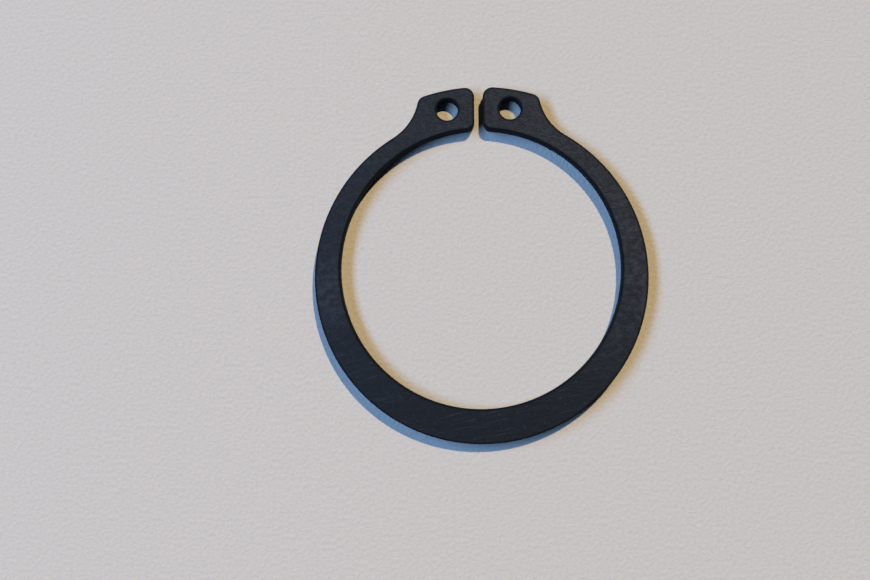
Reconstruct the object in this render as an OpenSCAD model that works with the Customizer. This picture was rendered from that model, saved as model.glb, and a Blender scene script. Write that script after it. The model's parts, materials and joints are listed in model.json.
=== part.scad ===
// External circlip retaining ring for a 35 mm shaft, stamped from 1.5 mm spring steel.
// The ring lies flat: origin on the shaft's axis at the underside, +Z up, the gap towards +Y.
// The outer circle is set off from the bore, so the ring tapers towards the lugs
// and keeps its round form when pliers spread it.

/* [Ring] */
// Inner diameter of the free ring, which grips the shaft's groove
bore_d = 32.2; // [26:0.1:40]
// Thickness of the strip
thickness = 1.5; // [1:0.1:2]
// Radial width opposite the gap, where the ring bends most
wide_section = 3.9; // [3:0.1:5]
// Radial width that the taper would reach at the gap
narrow_section = 1.95; // [1.2:0.05:2.6]

/* [Lugs] */
// Radial depth of a lug, from the bore to its outer arc
lug_depth = 5; // [4.2:0.1:6]
// Width of a lug, from the gap to its outer corner
lug_w = 6.5; // [5:0.1:8]
// Gap between the lugs, with the ring at rest
gap_w = 1; // [0.6:0.1:3]
// Radius of the hollow that blends a lug's back into the ring
flank_r = 6.4; // [3:0.1:9]
// Radius of a lug's two outer corners
corner_r = 1.1; // [0.5:0.1:1.2]
// Radius of a lug's corner between the gap and the bore
toe_r = 1; // [0.5:0.1:1.2]

/* [Plier holes] */
// Diameter of the hole for the plier's tip
hole_d = 2.5; // [1.5:0.1:2.8]
// From the bore to a hole's centre
hole_depth = 2.7; // [2.2:0.1:3]
// From the gap to a hole's centre
hole_from_gap = 3.15; // [2.5:0.05:3.5]

/* [Edges] */
// Radius of the upper edges, drawn down by the punch and softened by tumbling
edge_r = 0.2; // [0.1:0.05:0.3]

/* [Hidden] */
$fn = 128;

bore_r = bore_d / 2;
outer_r = bore_r + (wide_section + narrow_section) / 2;
outer_shift = (wide_section - narrow_section) / 2;
lug_r = bore_r + lug_depth;
half_gap = gap_w / 2;

// Neighbouring curves cross by this much, because curves that only touch leave no clean edge
cross = 0.003;
// The edge's round is lifted by this much, so that it meets the upper face at a fine crease
lift = edge_r / 40;
// How far a cutting tool reaches past what it cuts
past = 2;

bore_centre = [0, 0];
outer_centre = [0, -outer_shift];

// Where two circles meet, on the right-hand side when looking from the first centre to the second
function meet(a, ra, b, rb) =
    let (
        d = norm(b - a),
        along = (d * d + ra * ra - rb * rb) / (2 * d),
        aside = sqrt(ra * ra - along * along),
        u = (b - a) / d
    )
    a + along * u + aside * [u[1], -u[0]];

// The point at distance r from the shaft's axis with the given x
function on_arc(x, r) = [x, sqrt(r * r - x * x)];

unit_left = [-1, 0];
function outward(p) = p / norm(p);

// Back corner of the right lug before it is rounded, and the centre of the hollow behind it
back_corner = on_arc(half_gap + lug_w, lug_r);
flank_centre = meet(outer_centre, outer_r + flank_r - cross, back_corner, flank_r);

// Centres of the right lug's three corner rounds
back_centre = meet(flank_centre, flank_r + corner_r - cross, bore_centre, lug_r - corner_r + cross);
front_centre = on_arc(half_gap + corner_r - cross, lug_r - corner_r + cross);
toe_centre = on_arc(half_gap + toe_r - cross, bore_r + toe_r - cross);

// Centre of the right lug's plier hole
hole_centre = on_arc(half_gap + hole_from_gap, bore_r + hole_depth);

// Half section of a solid disc with its upper edge rounded, from the axis outwards
module disc_section(r, above = 0) {
    round_at = [r - edge_r, thickness - edge_r + lift];
    intersection() {
        square([r, thickness]);
        union() {
            square([r, round_at[1]]);
            square([round_at[0], thickness]);
            translate(round_at) circle(edge_r);
        }
    }
    if (above > 0) {
        translate([0, -above]) square([r, thickness]);
        translate([0, thickness / 2]) square([r - edge_r, thickness / 2 + above]);
    }
}

module disc(r, centre = [0, 0]) {
    translate(centre) rotate_extrude() disc_section(r);
}

// Section of a cut whose mouth is rounded over, from the middle of the cut outwards
module mouth_section(r) {
    difference() {
        translate([0, -past]) square([r + edge_r, thickness + 2 * past]);
        translate([r, -past - 1]) square([2 * edge_r, thickness - edge_r + lift + past + 1]);
        translate([r + edge_r, thickness - edge_r + lift]) circle(edge_r);
    }
}

module round_cut(r, centre = [0, 0]) {
    translate(centre) rotate_extrude() mouth_section(r);
}

// What a corner round of radius r leaves outside it, between the directions u and v
module corner_cut(centre, r, u, v) {
    reach = 2 * r;
    difference() {
        translate([0, 0, -past / 2])
            linear_extrude(thickness + past)
                polygon([centre, centre + reach * u, centre + reach * (u + v), centre + reach * v]);
        translate(centre) rotate_extrude() disc_section(r, past);
    }
}

// The gap, open towards +Y
module gap_cut() {
    translate([0, lug_r + past, 0])
        rotate([90, 0, 0])
            linear_extrude(lug_depth + bore_r)
                for (side = [0, 1]) mirror([side, 0]) mouth_section(half_gap);
}

// The plate that the right lug is cut from, as far as the line where its hollow meets the ring
module lug_plate() {
    intersection() {
        disc(lug_r);
        translate([0, 0, -past])
            linear_extrude(thickness + 2 * past)
                polygon([outer_centre, [0, 2 * lug_r], [flank_centre[0], 2 * lug_r], flank_centre]);
    }
}

module lug_cuts() {
    round_cut(flank_r, flank_centre);
    round_cut(hole_d / 2, hole_centre);
    corner_cut(back_centre, corner_r, outward(back_centre), outward(flank_centre - back_centre));
    corner_cut(front_centre, corner_r, outward(front_centre), unit_left);
    corner_cut(toe_centre, toe_r, unit_left, -outward(toe_centre));
}

module retaining_ring() {
    color("#2b2f34")
        difference() {
            union() {
                disc(outer_r, outer_centre);
                for (side = [0, 1]) mirror([side, 0, 0]) lug_plate();
            }
            round_cut(bore_r);
            gap_cut();
            for (side = [0, 1]) mirror([side, 0, 0]) lug_cuts();
        }
}

retaining_ring();
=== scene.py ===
# %% [markdown]
# # A circlip retaining ring in black phosphated spring steel
# The ring is one stamped piece: an open, tapered ring that snaps into a shaft's groove, with two lugs
# whose holes take the tips of circlip pliers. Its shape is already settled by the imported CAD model, so
# this lesson loads that model as a fixed frame and only gives the ring its look: the finer form of its
# cut edges, its finish, the light and the view.
#
# The ring's lengths are written in millimetres and turned to metres, Blender's own unit, by one factor.
# The floor and the lamps are far larger, and theirs are written in metres.

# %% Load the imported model
import cmath
import json
import math
import bmesh
import bpy
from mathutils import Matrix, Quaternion, Vector


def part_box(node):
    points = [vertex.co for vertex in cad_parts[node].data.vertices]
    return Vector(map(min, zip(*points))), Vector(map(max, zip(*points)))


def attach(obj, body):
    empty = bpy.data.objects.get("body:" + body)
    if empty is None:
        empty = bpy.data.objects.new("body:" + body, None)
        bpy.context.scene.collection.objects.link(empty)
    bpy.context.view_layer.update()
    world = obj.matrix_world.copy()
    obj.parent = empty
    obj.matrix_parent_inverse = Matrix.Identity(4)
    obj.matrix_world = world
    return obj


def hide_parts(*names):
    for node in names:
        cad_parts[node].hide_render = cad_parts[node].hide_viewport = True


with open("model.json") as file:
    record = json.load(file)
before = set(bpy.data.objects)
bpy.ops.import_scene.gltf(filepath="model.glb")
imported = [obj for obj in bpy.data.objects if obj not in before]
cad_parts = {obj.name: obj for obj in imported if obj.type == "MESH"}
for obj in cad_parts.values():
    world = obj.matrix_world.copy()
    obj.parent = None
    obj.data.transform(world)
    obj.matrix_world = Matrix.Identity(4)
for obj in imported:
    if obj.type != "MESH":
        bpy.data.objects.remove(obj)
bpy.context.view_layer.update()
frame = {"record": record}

MM = 0.001
RING = "retaining_ring"

# %% [markdown]
# ## Reading the sizes
# The new ring has to fill the CAD ring's space exactly, so as few sizes as possible are typed in. The
# bore and the plier holes are mounts in the model's record, which gives their radii and places. The
# ring's box gives its thickness and its outer circle, which is set off from the bore.

# %% Sizes that the model states
mounts = {m["name"]: m for m in frame["record"]["mounts"]}
low, high = (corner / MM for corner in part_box(RING))

bore_r = mounts["shaft_seat"]["dims"]["r_mm"]
hole_r = mounts["plier_hole_right"]["dims"]["r_mm"]
hole_c = complex(*mounts["plier_hole_right"]["pos_m"][:2]) / MM
thickness = high.z - low.z
outer_r = (high.x - low.x) / 2
outer_shift = -low.y - outer_r
print("bore and hole radius:", bore_r, hole_r, "hole centre:", hole_c)
print("outer radius, shift and thickness:", [round(v, 3) for v in (outer_r, outer_shift, thickness)])

# %% [markdown]
# The form of a lug isn't stated anywhere in the frame, so its five sizes are repeated here. Its outer arc
# follows from them and the box: the highest point of the box is the top of a lug's front corner round,
# and the centre of that round lies on a circle that is one corner radius smaller than the arc.

# %% Sizes of a lug
half_gap = 0.5
lug_w = 6.5
flank_r = 6.4
corner_r = 1.1
toe_r = 1.0
lug_r = corner_r + abs(complex(half_gap + corner_r, high.y - corner_r))
print("radius of the lug's outer arc:", round(lug_r, 3))

# %% [markdown]
# ## The outline
# Seen from above, the ring's outline is made of arcs that run into each other: the outer circle, the
# hollow behind a lug, three small corner rounds and the bore. A hand-drawn outline would never be as
# smooth, so the points where arcs meet are worked out from their circles. Complex numbers suit this: a
# point is one number, and a direction is a number of length one.

# %% Where the arcs of the outline meet
def meet(a, ra, b, rb):
    """Where two circles meet, on the right-hand side when looking from a to b."""
    apart = abs(b - a)
    along = (apart**2 + ra**2 - rb**2) / (2 * apart)
    aside = math.sqrt(ra**2 - along**2)
    return a + (along - 1j * aside) * (b - a) / apart


def on_arc(x, r):
    """The point at distance r from the shaft's axis with the given x."""
    return complex(x, math.sqrt(r**2 - x**2))


outer_c = complex(0, -outer_shift)
back_corner = on_arc(half_gap + lug_w, lug_r)
flank_c = meet(outer_c, outer_r + flank_r, back_corner, flank_r)
back_c = meet(flank_c, flank_r + corner_r, 0, lug_r - corner_r)
front_c = on_arc(half_gap + corner_r, lug_r - corner_r)
toe_c = on_arc(half_gap + toe_r, bore_r + toe_r)
print("centre of the hollow behind the right lug:", round(flank_c.real, 2), round(flank_c.imag, 2))

# %% [markdown]
# Each arc is sampled every fifth of a millimetre, which is finer than the render can show. The steel is
# always on the left of the path: the outline runs counter-clockwise and the holes run clockwise. That
# matters later, when the section of the cut edge is swept along these paths. Only the right half is
# worked out, because the ring mirrors itself across the gap.

# %% Points along the outline
STEP = 0.2
FEWEST_STEPS = 4


def arc(centre, r, start, end):
    """Points on a circle from the direction start to the direction end, the shorter way round."""
    sweep = cmath.phase(end / start)
    count = max(FEWEST_STEPS, round(abs(sweep) * r / STEP))
    unit = start / abs(start)
    return [centre + r * unit * cmath.rect(1, sweep * k / count) for k in range(count + 1)]


south, east, west = -1j, 1, -1
runs = [
    arc(outer_c, outer_r, south, east),
    arc(outer_c, outer_r, east, flank_c - outer_c),
    arc(flank_c, flank_r, outer_c - flank_c, back_c - flank_c),
    arc(back_c, corner_r, flank_c - back_c, back_c),
    arc(0, lug_r, back_c, front_c),
    arc(front_c, corner_r, front_c, west),
    arc(toe_c, toe_r, west, -toe_c),
    arc(0, bore_r, toe_c, east),
    arc(0, bore_r, east, south),
]
print("points on each arc of the right half:", [len(run) for run in runs])

# %% One closed path and two holes
HOLE_POINTS = 64
# Two arcs share the point where they meet, and points nearer than this are taken for one
SAME_POINT = STEP / 100

right_half = [runs[0][0]]
for point in (p for run in runs for p in run):
    if abs(point - right_half[-1]) > SAME_POINT:
        right_half.append(point)
left_half = [complex(-p.real, p.imag) for p in reversed(right_half)][1:-1]
outline = right_half + left_half
right_hole = [hole_c + cmath.rect(hole_r, -math.tau * k / HOLE_POINTS) for k in range(HOLE_POINTS)]
left_hole = [complex(-p.real, p.imag) for p in reversed(right_hole)]
print(len(outline), "points on the outline and", len(right_hole), "on each hole")

# %% [markdown]
# ## The section of the cut edge
# A press leaves the same four bands on every edge that it cuts. The punch first draws the upper edge
# down into a round, then shears a smooth band, and then the steel breaks off along a rougher band that
# leans back a little. Tumbling takes the burr off the lower edge. A Bevel modifier would give each edge
# the same plain round, so the section is drawn instead, once, from the upper face to the underside, with
# x pointing out of the steel. It starts and ends with a flat border, so that smooth shading turns only
# over the rounds and leaves the faces flat.

# %% The section as points
EDGE_R = 0.2
# Height at which the smooth band ends, with a small step inwards just above it
SHEAR_END = 0.55
STEP_HEIGHT = 0.1
STEP_IN = 0.006
# How far the broken band leans back, and the round that tumbling gives the lower edge
BREAK_BACK = 0.03
LOWER_R = 0.05
BORDER = 0.12


def quarter(x, z, r, start, count):
    """A quarter round, as (x, z) points, which turns clockwise from the angle start."""
    turns = [math.radians(start - 90 * k / count) for k in range(count + 1)]
    return [(x + r * math.cos(a), z + r * math.sin(a)) for a in turns]


inset = EDGE_R + BORDER
section = [
    (-inset, thickness),
    *quarter(-EDGE_R, thickness - EDGE_R, EDGE_R, start=90, count=8),
    (0, SHEAR_END + STEP_HEIGHT),
    (-STEP_IN, SHEAR_END),
    *quarter(-BREAK_BACK - LOWER_R, LOWER_R, LOWER_R, start=0, count=3),
    (-inset, 0),
]
print(len(section), "points on the section")

# %% [markdown]
# Geometry Nodes take both as curves. A POLY spline goes straight from point to point, which suits paths
# that are already this fine. The section lies flat here and stands up when it is swept, its y pointing
# down, so its heights are written with the sign turned.

# %% Curves for the outline and the section
def curve_object(name, paths, cyclic):
    """A curve object of straight runs through each path's points, which are in millimetres."""
    curve = bpy.data.curves.new(name, "CURVE")
    curve.dimensions = "3D"
    for path in paths:
        spline = curve.splines.new("POLY")
        spline.points.add(len(path) - 1)
        spline.points.foreach_set("co", [c for x, y in path for c in (x * MM, y * MM, 0, 1)])
        spline.use_cyclic_u = cyclic
    made = bpy.data.objects.new(name, curve)
    bpy.context.scene.collection.objects.link(made)
    return made


closed_paths = [[(p.real, p.imag) for p in path] for path in (outline, right_hole, left_hole)]
ring_curve = curve_object("ring_outline", closed_paths, cyclic=True)
section_curve = curve_object("edge_section", [[(x, -z) for x, z in section]], cyclic=False)
print("curves:", ring_curve.name, "and", section_curve.name)

# %% [markdown]
# ## Sweeping the edge with Geometry Nodes
# Everything that is left follows one rule: the section runs along the outline, and a flat face closes
# the top and the bottom. Mesh code could do it too, but a node tree says the rule in a few steps and
# stays open to change: a thicker ring or another edge is a new input value.
#
# One small helper adds a node with its settings, and gives each input a value or a link.

# %% A helper that adds a node
def add_node(tree, kind, inputs=None, **settings):
    """Adds a node with its settings, and gives each named or numbered input a value or a link."""
    node = tree.nodes.new(kind)
    for name, value in settings.items():
        setattr(node, name, value)
    for name, value in (inputs or {}).items():
        if isinstance(value, bpy.types.NodeSocket):
            tree.links.new(value, node.inputs[name])
        else:
            node.inputs[name].default_value = value
    return node


# %% The tree and its inputs
plate_tree = bpy.data.node_groups.new("stamped_plate", "GeometryNodeTree")
for name, kind in (
    ("Outline", "NodeSocketGeometry"),
    ("Section", "NodeSocketObject"),
    ("Thickness", "NodeSocketFloat"),
    ("Inset", "NodeSocketFloat"),
    ("Rim", "NodeSocketFloat"),
    ("Merge Distance", "NodeSocketFloat"),
    ("Material", "NodeSocketMaterial"),
):
    plate_tree.interface.new_socket(name, in_out="INPUT", socket_type=kind)
plate_tree.interface.new_socket("Plate", in_out="OUTPUT", socket_type="NodeSocketGeometry")
given = add_node(plate_tree, "NodeGroupInput").outputs
print("inputs:", [socket.name for socket in given if socket.name])

# %% [markdown]
# The finish will have to know where the cut edge is, so the section carries a number for it. It is zero
# where the section leaves the flat face, grows to one over the width of the rim, and stays one on the
# wall. Stored under the name rim, it follows each point onto the finished mesh.

# %% A number that marks the cut edge
profile = add_node(plate_tree, "GeometryNodeObjectInfo", {"Object": given["Section"]}).outputs["Geometry"]
place = add_node(plate_tree, "GeometryNodeInputPosition").outputs["Position"]
outwards = add_node(plate_tree, "ShaderNodeSeparateXYZ", {"Vector": place}).outputs["X"]
past_face = add_node(
    plate_tree, "ShaderNodeMath", {0: outwards, 1: given["Inset"]}, operation="ADD"
).outputs[0]
rim = add_node(
    plate_tree, "ShaderNodeMapRange", {"Value": past_face, "From Min": 0.0, "From Max": given["Rim"]}
).outputs["Result"]
marked = add_node(
    plate_tree, "GeometryNodeStoreNamedAttribute",
    {"Geometry": profile, "Name": "rim", "Value": rim}, data_type="FLOAT", domain="POINT",
).outputs["Geometry"]
print("the section is marked by", marked.node.bl_idname)

# %% [markdown]
# Curve to Mesh carries the section round the outline. A curve's own normals may twist on the way, and
# the Z Up mode keeps the section upright.

# %% The cut edge
upright = add_node(
    plate_tree, "GeometryNodeSetCurveNormal", {"Curve": given["Outline"]}, mode="Z_UP"
).outputs["Curve"]
wall = add_node(
    plate_tree, "GeometryNodeCurveToMesh", {"Curve": upright, "Profile Curve": marked}
).outputs["Mesh"]
print("the edge is made by", wall.node.bl_idname)

# %% [markdown]
# Fill Curve makes a flat face from the same outline, moved into the steel by as much as the section
# reaches in. Up crossed with the curve's tangent points there, because the steel is on the left. A copy
# of that face is lifted to the upper height, and the first one is turned over to look down.

# %% The two flat faces
tangent = add_node(plate_tree, "GeometryNodeInputTangent").outputs["Tangent"]
inwards = add_node(
    plate_tree, "ShaderNodeVectorMath", {0: (0, 0, 1), 1: tangent}, operation="CROSS_PRODUCT"
).outputs[0]
offset = add_node(
    plate_tree, "ShaderNodeVectorMath", {0: inwards, "Scale": given["Inset"]}, operation="SCALE"
).outputs[0]
moved = add_node(
    plate_tree, "GeometryNodeSetPosition", {"Geometry": upright, "Offset": offset}
).outputs["Geometry"]
underside = add_node(plate_tree, "GeometryNodeFillCurve", {"Curve": moved}).outputs["Mesh"]
height = add_node(plate_tree, "ShaderNodeCombineXYZ", {"Z": given["Thickness"]}).outputs[0]
upper_face = add_node(
    plate_tree, "GeometryNodeTransform", {"Geometry": underside, "Translation": height}
).outputs["Geometry"]
underside = add_node(plate_tree, "GeometryNodeFlipFaces", {"Mesh": underside}).outputs["Mesh"]
print("the upper face is made by", upper_face.node.bl_idname, "and the lower by", underside.node.bl_idname)

# %% [markdown]
# The fill's border points lie exactly on the section's two ends, so Merge by Distance closes the seams.
# The tree ends as every tree here should that is exported: Realize Instances, then Set Material.

# %% Join, close and finish
whole = add_node(plate_tree, "GeometryNodeJoinGeometry")
for part in (wall, upper_face, underside):
    plate_tree.links.new(part, whole.inputs[0])
merged = add_node(
    plate_tree, "GeometryNodeMergeByDistance",
    {"Geometry": whole.outputs[0], "Distance": given["Merge Distance"]},
)
smooth = add_node(plate_tree, "GeometryNodeSetShadeSmooth", {"Geometry": merged.outputs[0]})
real = add_node(plate_tree, "GeometryNodeRealizeInstances", {"Geometry": smooth.outputs[0]})
finished = add_node(
    plate_tree, "GeometryNodeSetMaterial", {"Geometry": real.outputs[0], "Material": given["Material"]}
)
add_node(plate_tree, "NodeGroupOutput", {"Plate": finished.outputs[0]})
print("tree:", plate_tree.name, "with", len(plate_tree.nodes), "nodes")

# %% [markdown]
# ## Colours
# A colour is written as the hex value that a colour picker shows, and one function turns it to the
# linear numbers that shaders and lamps work with.

# %% From hex to linear
def linear(hex_colour):
    """An sRGB hex colour such as "#2B2F34" as a linear RGBA tuple."""
    parts = [int(hex_colour[k:k + 2], 16) / 255 for k in (1, 3, 5)]
    return (*[c / 12.92 if c <= 0.04045 else ((c + 0.055) / 1.055) ** 2.4 for c in parts], 1.0)


print("a dark grey, #2B2F34, is", [round(c, 4) for c in linear("#2B2F34")])

# %% [markdown]
# ## The finish: phosphated and oiled spring steel
# The hardened steel is dipped in a phosphate bath, which grows a skin of fine dark crystals, and is then
# oiled. To the eye that is a dark satin grey with a hint of blue, neither a bare metal nor a paint, so
# the shader isn't metallic. An image texture could hold its unevenness, but noise in Object coordinates
# needs no unwrapping and no file, and lies on all sides at its true size.
#
# Each pattern has a cause on the real ring. The bath leaves clouds a few millimetres wide, mottles under
# one millimetre and a pale speck here and there. The crystals measure a few hundredths of a millimetre,
# too fine for the render, so the grain is drawn about six times as coarse. The strip was rolled before it
# was stamped, which leaves faint streaks that run one way across both faces, and handling leaves a few
# short scuffs. On the cut edge, the punch drags fine lines straight down through the thickness.

# %% The patterns
steel = bpy.data.materials.new("phosphated_spring_steel")
steel.use_nodes = True
steel_tree = steel.node_tree
steel_shader = steel_tree.nodes["Principled BSDF"]
on_ring = add_node(steel_tree, "ShaderNodeTexCoord").outputs["Object"]

patterns = {}
for name, size, stretch, turn, starts, ends in (
    # Size of a cell in mm, its stretch along X, Y and Z, its turn in degrees, and the noise that counts
    ("clouds", 4.5, (1, 1, 1), 0, 0.35, 0.65),
    ("mottle", 0.75, (1, 1, 1), 0, 0.44, 0.64),
    ("grain", 0.24, (1, 1, 1), 0, 0.40, 0.62),
    ("specks", 0.30, (1, 1, 1), 0, 0.64, 0.74),
    ("streaks", 0.18, (16, 1, 1), -3, 0.42, 0.72),
    ("scuffs", 0.18, (18, 1, 1), 13, 0.58, 0.74),
    ("drag_lines", 0.15, (1, 1, 14), 0, 0.40, 0.64),
):
    spot = add_node(
        steel_tree, "ShaderNodeMapping",
        {
            "Vector": on_ring,
            "Rotation": (0, 0, math.radians(turn)),
            "Scale": [size * s * MM for s in stretch],
        },
        vector_type="TEXTURE",
    )
    noise = add_node(
        steel_tree, "ShaderNodeTexNoise", {"Vector": spot.outputs[0], "Scale": 1.0, "Detail": 3.0}
    )
    patterns[name] = add_node(
        steel_tree, "ShaderNodeMapRange",
        {"Value": noise.outputs["Fac"], "From Min": starts, "From Max": ends},
    ).outputs["Result"]
print("patterns:", list(patterns))

# %% [markdown]
# The patterns add up to one tone between zero and one. Towards the ring's widest part the tone falls
# off, which is painted shade: the faces there are drawn as if they took less of the light. A map of the
# height along the ring says how much of it stays.

# %% The tone
# Painted shade: the tone is full from this height along the ring in mm on, and keeps this share at the
# front
FULL_TONE_FROM = 10
TONE_IN_PAINTED_SHADE = 0.22

tone = 0.0
for name, share in (("clouds", 0.13), ("mottle", 0.38), ("grain", 0.42), ("streaks", 0.07)):
    tone = add_node(
        steel_tree, "ShaderNodeMath", {0: patterns[name], 1: share, 2: tone}, operation="MULTIPLY_ADD"
    ).outputs[0]
along_ring = add_node(steel_tree, "ShaderNodeSeparateXYZ", {"Vector": on_ring}).outputs["Y"]
# The painted shade darkens the tone towards the ring's widest part
painted_front_shade = add_node(
    steel_tree, "ShaderNodeMapRange",
    {"Value": along_ring, "From Min": low.y * MM, "From Max": FULL_TONE_FROM * MM, "To Min": TONE_IN_PAINTED_SHADE},
).outputs["Result"]
tone = add_node(steel_tree, "ShaderNodeMath", {0: tone, 1: painted_front_shade}, operation="MULTIPLY").outputs[0]
print("share of the tone:", TONE_IN_PAINTED_SHADE, "at", round(low.y, 1), "mm and 1 from", FULL_TONE_FROM, "mm on")

# %% [markdown]
# Two places are painted paler, a wide one on the right and a small one on the left: a painted sheen,
# where the faces are drawn as if they caught more of the light. The distance from the middle of such a
# place fades it out, and the mottles and clouds break it up.

# %% The painted sheen
# Painted sheen: how much paler the faces are painted in the middle of each place
SHEEN_STRENGTH = 0.68
CLOUDS_IN_SHEEN = 0.3

# A Mix node has an A, a B and a Result for each data type, and those of numbers are 2, 3 and 0
sheen_patches = add_node(
    steel_tree, "ShaderNodeMix", {0: CLOUDS_IN_SHEEN, 2: patterns["mottle"], 3: patterns["clouds"]}
).outputs[0]
painted_sheen = 0.0
for x, y, reach in (
    # The middle in mm, and how far it fades out in mm
    (17.2, 0.0, 16.0),
    (-16.8, -2.4, 6.0),
):
    middle = Vector((x, y, thickness)) * MM
    away = add_node(
        steel_tree, "ShaderNodeVectorMath", {0: on_ring, 1: middle}, operation="DISTANCE"
    ).outputs["Value"]
    near = add_node(
        steel_tree, "ShaderNodeMapRange",
        {"Value": away, "From Min": reach * MM, "From Max": 0.0, "To Max": SHEEN_STRENGTH},
        interpolation_type="SMOOTHSTEP",
    ).outputs["Result"]
    painted_sheen = add_node(
        steel_tree, "ShaderNodeMath", {0: near, 1: sheen_patches, 2: painted_sheen}, operation="MULTIPLY_ADD"
    ).outputs[0]
print("rubbed places end in", painted_sheen.node.bl_idname)

# %% [markdown]
# The number stored on the mesh says where the cut edge is. Its smooth upper band carries the drag lines,
# and its broken lower band doesn't. The border between the two is ragged, so the mottles shift it up and
# down a little.

# %% The drag lines
RAGGED = 0.2

on_edge = add_node(steel_tree, "ShaderNodeAttribute", attribute_name="rim").outputs["Fac"]
height_on_ring = add_node(steel_tree, "ShaderNodeSeparateXYZ", {"Vector": on_ring}).outputs["Z"]
ragged = add_node(
    steel_tree, "ShaderNodeMath", {0: patterns["mottle"], 1: -RAGGED * MM, 2: height_on_ring},
    operation="MULTIPLY_ADD",
).outputs[0]
sheared = add_node(
    steel_tree, "ShaderNodeMapRange",
    {"Value": ragged, "From Min": (SHEAR_END - STEP_HEIGHT) * MM, "From Max": SHEAR_END * MM},
).outputs["Result"]
dragged = patterns["drag_lines"]
for mask in (on_edge, sheared):
    dragged = add_node(steel_tree, "ShaderNodeMath", {0: dragged, 1: mask}, operation="MULTIPLY").outputs[0]
print("drag lines end about", SHEAR_END, "mm above the underside")

# %% [markdown]
# The tone picks a colour between the darkest and the palest phosphate. The painted sheen, the specks and
# the scuffs are laid over it in turn. The cut edge hides them all under a near black, which is painted
# shade for a wall and round that face away from the lamps. The drag lines come last, a shade paler.

# %% The colour
scuffed = add_node(
    steel_tree, "ShaderNodeMath", {0: patterns["scuffs"], 1: patterns["clouds"]}, operation="MULTIPLY"
).outputs[0]
colour = linear("#050709")
for amount, over in (
    (tone, "#1F252D"),
    # Painted sheen
    (painted_sheen, "#33373B"),
    (patterns["specks"], "#30363B"),
    (scuffed, "#2F3439"),
    # Painted shade on the cut edge
    (on_edge, "#030405"),
    (dragged, "#101316"),
):
    # The A, the B and the Result of colours are 6, 7 and 2
    colour = add_node(
        steel_tree, "ShaderNodeMix", {0: amount, 6: colour, 7: linear(over)}, data_type="RGBA"
    ).outputs[2]
steel_tree.links.new(colour, steel_shader.inputs["Base Color"])
print("colour ends in", colour.node.bl_idname)

# %% [markdown]
# The oil evens out the gloss: a satin surface, a little smoother where the skin is paler, and matt on the
# cut edge. The relief of the crystals is a few thousandths of a millimetre deep, which is too small to
# model, so a Bump node tilts the light instead. The grain is drawn coarser than it is, and as much deeper,
# because the slopes are what the light shows.

# %% The gloss and the relief
SATIN = 0.56
SMOOTHER_WHERE_PALE = -0.14
EDGE_MATT = 0.5
RELIEF = 0.0165

roughness = add_node(
    steel_tree, "ShaderNodeMath", {0: tone, 1: SMOOTHER_WHERE_PALE, 2: SATIN}, operation="MULTIPLY_ADD"
).outputs[0]
roughness = add_node(
    steel_tree, "ShaderNodeMath", {0: on_edge, 1: EDGE_MATT, 2: roughness}, operation="MULTIPLY_ADD"
).outputs[0]
relief = 0.0
for amount, share in (
    (patterns["grain"], 0.6),
    (patterns["mottle"], 0.6),
    (patterns["streaks"], 0.08),
    (dragged, 0.8),
):
    relief = add_node(
        steel_tree, "ShaderNodeMath", {0: amount, 1: share, 2: relief}, operation="MULTIPLY_ADD"
    ).outputs[0]
bump = add_node(
    steel_tree, "ShaderNodeBump", {"Height": relief, "Strength": 1.0, "Distance": RELIEF * MM}
)
steel_tree.links.new(roughness, steel_shader.inputs["Roughness"])
steel_tree.links.new(bump.outputs[0], steel_shader.inputs["Normal"])
steel_shader.inputs["Metallic"].default_value = 0.0
steel_shader.inputs["Specular IOR Level"].default_value = 0.23
steel_shader.inputs["Specular Tint"].default_value = linear("#C9DFF8")
print("material:", steel.name, "with", len(steel_tree.nodes), "nodes")

# %% [markdown]
# ## The ring
# The tree's inputs are set by the identifier of each socket, because a modifier doesn't know their names,
# and before the object is first evaluated. The evaluated result becomes a plain mesh on a new object at
# the origin, and the curves have done their work. The rim is wider than the flat border, so the painted
# shade of the cut edge begins on the flat and is full in the middle of the round.

# %% From curve to mesh
# Width in mm over which the rim number grows to one, and with it the painted shade of the cut edge
RIM = 0.22
SEAM = 2 * SAME_POINT

sizes = {
    "Section": section_curve,
    "Thickness": thickness * MM,
    "Inset": inset * MM,
    "Rim": RIM * MM,
    "Merge Distance": SEAM * MM,
    "Material": steel,
}
modifier = ring_curve.modifiers.new("stamped_plate", "NODES")
modifier.node_group = plate_tree
for socket in plate_tree.interface.items_tree:
    if socket.in_out == "INPUT" and socket.name in sizes:
        modifier[socket.identifier] = sizes[socket.name]

graph = bpy.context.evaluated_depsgraph_get()
ring_mesh = bpy.data.meshes.new_from_object(ring_curve.evaluated_get(graph))
ring_mesh.name = "circlip_ring"
ring_curve.modifiers.remove(modifier)
ring = bpy.data.objects.new("circlip_ring", ring_mesh)
bpy.context.scene.collection.objects.link(ring)
for used in (ring_curve, section_curve):
    bpy.data.objects.remove(used)
print(ring.name, "has", len(ring_mesh.vertices), "points and", len(ring_mesh.polygons), "faces")

# %% [markdown]
# A swept mesh can come out open at a seam or inside out, and neither shows in a render. In a closed mesh
# each edge has two faces, and the signed volume is positive when the faces point outwards.

# %% Is the ring closed?
check = bmesh.new()
check.from_mesh(ring_mesh)
open_edges = sum(1 for edge in check.edges if len(edge.link_faces) != 2)
volume = check.calc_volume(signed=True) / MM**3
triangles = sum(len(face.verts) - 2 for face in check.faces)
check.free()
print("open edges:", open_edges, "volume in mm3:", round(volume, 1), "triangles:", triangles)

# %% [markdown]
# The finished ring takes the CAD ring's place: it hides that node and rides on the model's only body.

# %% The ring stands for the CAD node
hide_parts(RING)
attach(ring, "root")
print(ring.name, "stands for", RING)

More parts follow.
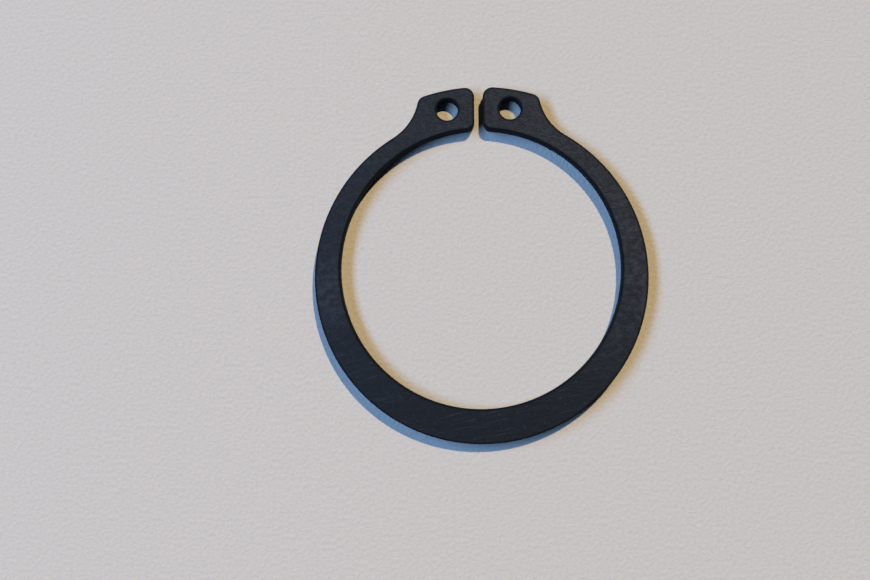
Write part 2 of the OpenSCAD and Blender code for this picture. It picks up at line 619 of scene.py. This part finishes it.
# %% [markdown]
# ## The floor
# The ring lies on a plain pale board, coated and almost matt, with the fine peel that a rolled coat of
# paint leaves. A plane is enough for it. The peel is under a millimetre wide and far too shallow to
# model, so it is a bump, and the colour varies a little with it. The floor reaches forty centimetres each
# way: far past the view, and not so far that the light has changed where low angles see its end. It lies
# a hundredth of a millimetre lower than the ring, so that the two faces don't fight.

# %% The coat of the board
PEEL_SIZE = 0.42
PEEL_DEPTH = 0.08

board = bpy.data.materials.new("rolled_paint")
board.use_nodes = True
board_tree = board.node_tree
board_shader = board_tree.nodes["Principled BSDF"]
on_floor = add_node(board_tree, "ShaderNodeTexCoord").outputs["Object"]
peel = add_node(
    board_tree, "ShaderNodeTexNoise", {"Vector": on_floor, "Scale": 1 / (PEEL_SIZE * MM), "Detail": 3.0}
).outputs["Fac"]
shade = add_node(
    board_tree, "ShaderNodeMix", {0: peel, 6: linear("#C0BFB2"), 7: linear("#D0CFC2")}, data_type="RGBA"
).outputs[2]
peel_bump = add_node(
    board_tree, "ShaderNodeBump", {"Height": peel, "Strength": 1.0, "Distance": PEEL_DEPTH * MM}
)
board_tree.links.new(shade, board_shader.inputs["Base Color"])
board_tree.links.new(peel_bump.outputs[0], board_shader.inputs["Normal"])
board_shader.inputs["Roughness"].default_value = 0.9
board_shader.inputs["Specular IOR Level"].default_value = 0.2
print("material:", board.name)

# %% The floor
REACH = 0.4
DROP = 0.01

floor_mesh = bpy.data.meshes.new("floor")
corners = [(x * REACH, y * REACH, -DROP * MM) for x, y in ((-1, -1), (1, -1), (1, 1), (-1, 1))]
floor_mesh.from_pydata(corners, [], [(0, 1, 2, 3)])
floor_mesh.materials.append(board)
floor = bpy.data.objects.new("floor", floor_mesh)
bpy.context.scene.collection.objects.link(floor)
print("floor:", 2 * REACH, "m square")

# %% [markdown]
# ## The light
# Two lamps light the ring from opposite sides. The warm one is small and high, behind on the right, and
# throws a crisp shadow forwards and to the left. The cool one is a long strip, on the left, and throws a
# soft shadow to the right. Each shadow is filled by the other lamp and so takes its colour: blue in the
# first, sand in the second. Together they give a nearly neutral white.
#
# A sun lamp suits the warm light: it comes from one direction everywhere, and its angle sets how soft the
# shadow is. The cool light is an area lamp a metre and a half away, which lights the left of the floor a
# little more than the right, as in the photograph. Its long side lies nearly level, so it blurs the
# shadows along the ring's front and back more than the one on its right. A level is worked out so that 1
# lights a flat white floor fully, whatever the lamp's height and distance.

# %% The lamps
AWAY = 1.5


def add_lamp(name, kind, bearing, height, turn, colour, level, **settings):
    """A lamp that faces the ring. Its bearing from +X, height and turn on its axis are in degrees."""
    lamp = bpy.data.lights.new(name, kind)
    for setting, value in settings.items():
        setattr(lamp, setting, value)
    around, up = math.radians(bearing), math.radians(height)
    # A sun's energy is what falls on a surface that faces it, an area lamp's is all that it sends out
    falls = 1 / (4 * AWAY**2) if kind == "AREA" else 1
    lamp.energy = level * math.pi / (falls * math.sin(up))
    lamp.color = linear(colour)[:3]
    made = bpy.data.objects.new(name, lamp)
    towards = Vector((math.cos(around) * math.cos(up), math.sin(around) * math.cos(up), math.sin(up)))
    facing = towards.to_track_quat("Z", "Y") @ Quaternion((0, 0, 1), math.radians(turn))
    made.location = AWAY * towards
    made.rotation_euler = facing.to_euler()
    bpy.context.scene.collection.objects.link(made)
    return made


key_lamp = add_lamp(
    "key_lamp", "SUN", bearing=62, height=50.2, turn=0, colour="#FFDFB0", level=0.76,
    angle=math.radians(2.5),
)
fill_lamp = add_lamp(
    "fill_lamp", "AREA", bearing=175, height=44, turn=10, colour="#91BCFF", level=0.7,
    shape="RECTANGLE", size=1.5, size_y=0.42,
)
print("lamps:", [(lamp.name, round(lamp.data.energy, 2)) for lamp in (key_lamp, fill_lamp)])

# %% [markdown]
# The world adds a little blue light from all round, which keeps the deepest shadows from going black.
# What the camera sees past the floor, and what a gloss mirrors, is a pale backdrop instead: the Light
# Path node tells those rays apart, so the backdrop adds no light to the ring.

# %% The world
world = bpy.data.worlds.new("studio")
world.use_nodes = True
bpy.context.scene.world = world
world_tree = world.node_tree
world_tree.nodes.clear()
rays = add_node(world_tree, "ShaderNodeLightPath").outputs
seen = rays["Is Camera Ray"]
for kind in ("Is Glossy Ray", "Is Transmission Ray"):
    seen = add_node(world_tree, "ShaderNodeMath", {0: seen, 1: rays[kind]}, operation="MAXIMUM").outputs[0]
ambient = add_node(world_tree, "ShaderNodeBackground", {"Color": linear("#94C2FF"), "Strength": 0.02})
backdrop = add_node(world_tree, "ShaderNodeBackground", {"Color": linear("#C8C5C1"), "Strength": 1.0})
both = add_node(world_tree, "ShaderNodeMixShader", {0: seen, 1: ambient.outputs[0], 2: backdrop.outputs[0]})
add_node(world_tree, "ShaderNodeOutputWorld", {"Surface": both.outputs[0]})
print("world:", world.name)

# %% [markdown]
# ## The view
# The camera stands ten centimetres above the floor and leans by less than six degrees. The lens, the
# place and the three angles were fitted to the edges of the ring in the photograph, so they are typed in
# as they came out. The near clip is brought in to suit a small scene.

# %% The camera
camera_data = bpy.data.cameras.new("camera")
camera_data.lens = 35.74
camera_data.clip_start = 1 * MM
camera_data.clip_end = 20
camera = bpy.data.objects.new("camera", camera_data)
camera.location = Vector((-0.45, -11.03, 99.56)) * MM
camera.rotation_euler = [math.radians(a) for a in (4.911, 2.785, -0.331)]
bpy.context.scene.collection.objects.link(camera)
bpy.context.scene.camera = camera
bpy.context.scene.view_settings.view_transform = "Standard"
print("camera:", round(camera.location.length / MM), "mm from the shaft's axis at the floor")
